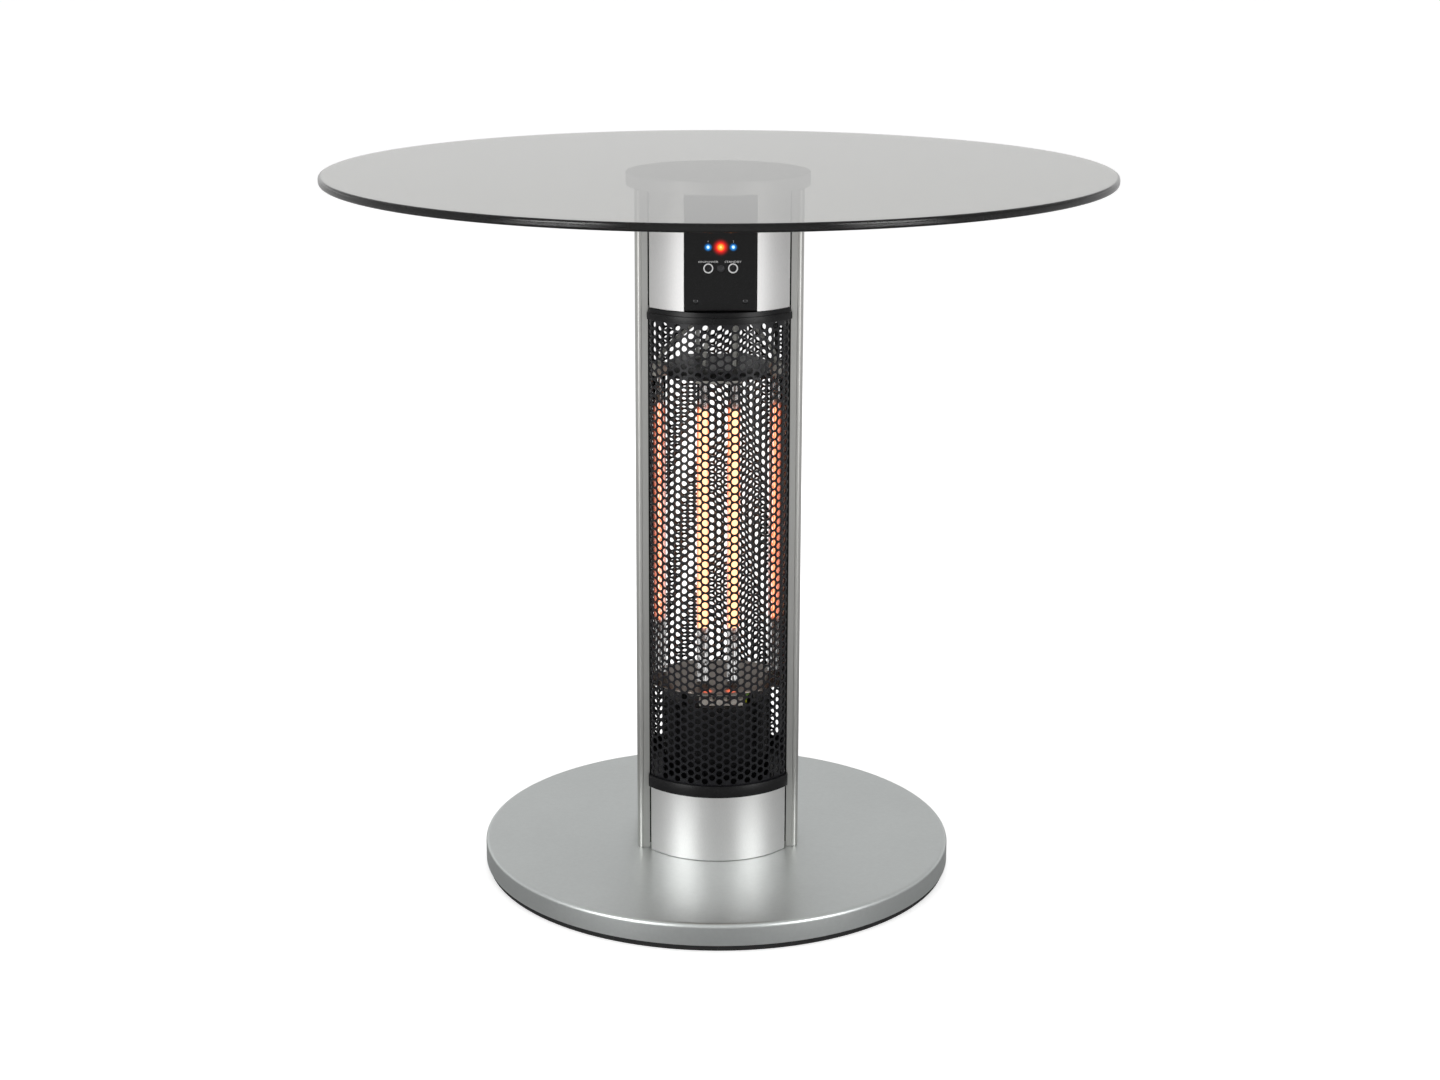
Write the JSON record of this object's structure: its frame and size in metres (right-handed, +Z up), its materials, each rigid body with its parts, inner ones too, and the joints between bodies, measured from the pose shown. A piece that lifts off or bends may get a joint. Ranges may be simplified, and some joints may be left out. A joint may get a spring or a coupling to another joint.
{
  "type": "heated patio table",
  "caption": "Round glass-topped patio table on an upright radiant heater column with a perforated guard, front control panel and round steel base.",
  "frame": {"origin": "centre of the table on the ground, under the foot ring", "axes": "+Z up along the column, -Y towards the control panel, +X to the right of the panel"},
  "size_m": [0.8, 0.8, 0.74],
  "materials": {
    "glass": "smoked, polished",
    "satin_steel": "satin",
    "satin_aluminium": "satin anodised",
    "zinc_steel": "zinc plated",
    "cast_iron": "rough",
    "black_enamel": "semi-matte black",
    "black_plastic": "fine matte",
    "black_rubber": "matte",
    "bright_metal": "bright, heat tinted",
    "quartz": "clear",
    "carbon": "glowing",
    "ceramic": "unglazed ceramic",
    "board_green": "solder mask",
    "earth_green": "green and yellow sleeve",
    "white_plastic": "smooth",
    "red_lens": "clear red",
    "blue_lens": "clear blue",
    "dark_lens": "smoked"
  },
  "bodies": {
    "table": {"foot_ring": "black_rubber", "ballast_plate": "cast_iron", "base_cover": "satin_steel", "base_bolt_front_left": "zinc_steel", "base_bolt_front_right": "zinc_steel", "base_bolt_rear_left": "zinc_steel", "base_bolt_rear_right": "zinc_steel", "foot_plate": "zinc_steel", "lower_collar": "satin_aluminium", "cable_gland": "black_plastic", "mains_terminal": "white_plastic", "tilt_switch": "black_plastic", "lower_ring": "black_enamel", "upper_ring": "black_enamel", "guard_front": "black_enamel", "guard_rear": "black_enamel", "post_front_left": "satin_aluminium", "post_front_right": "satin_aluminium", "post_rear_left": "satin_aluminium", "post_rear_right": "satin_aluminium", "inner_drum": "black_enamel", "terminal_block": "ceramic", "reflector": "bright_metal", "upper_shade": "black_enamel", "tube_front_left": "quartz", "tube_front_right": "quartz", "tube_left": "quartz", "tube_right": "quartz", "element_front_left": "carbon", "element_front_right": "carbon", "element_left": "carbon", "element_right": "carbon", "lower_socket_pair": "ceramic", "lower_socket_left": "ceramic", "lower_socket_right": "ceramic", "upper_socket_pair": "ceramic", "upper_socket_left": "ceramic", "upper_socket_right": "ceramic", "wire_conduit": "black_plastic", "earth_lead": "earth_green", "upper_housing": "satin_aluminium", "control_panel": "black_plastic", "power_lamp": "red_lens", "status_lamp_left": "blue_lens", "status_lamp_right": "blue_lens", "receiver_window": "dark_lens", "power_button_bezel": "white_plastic", "standby_button_bezel": "white_plastic", "circuit_board": "board_green", "panel_screw_left": "black_enamel", "panel_screw_right": "black_enamel", "top_flange": "satin_aluminium", "flange_bolt_front_left": "zinc_steel", "flange_bolt_front_right": "zinc_steel", "flange_bolt_rear_left": "zinc_steel", "flange_bolt_rear_right": "zinc_steel", "glass_top": "glass"},
    "power_button": {"power_button": "black_plastic"},
    "standby_button": {"standby_button": "black_plastic"}
  },
  "joints": [
    {"name": "power_press", "type": "slide", "parent": "table", "child": "power_button", "axis": [0, 1, 0], "range_m": [0, 0.0008], "stiffness_N_per_m": 600, "springref_m": -0.001},
    {"name": "standby_press", "type": "slide", "parent": "table", "child": "standby_button", "axis": [0, 1, 0], "range_m": [0, 0.0008], "stiffness_N_per_m": 600, "springref_m": -0.001}
  ]
}
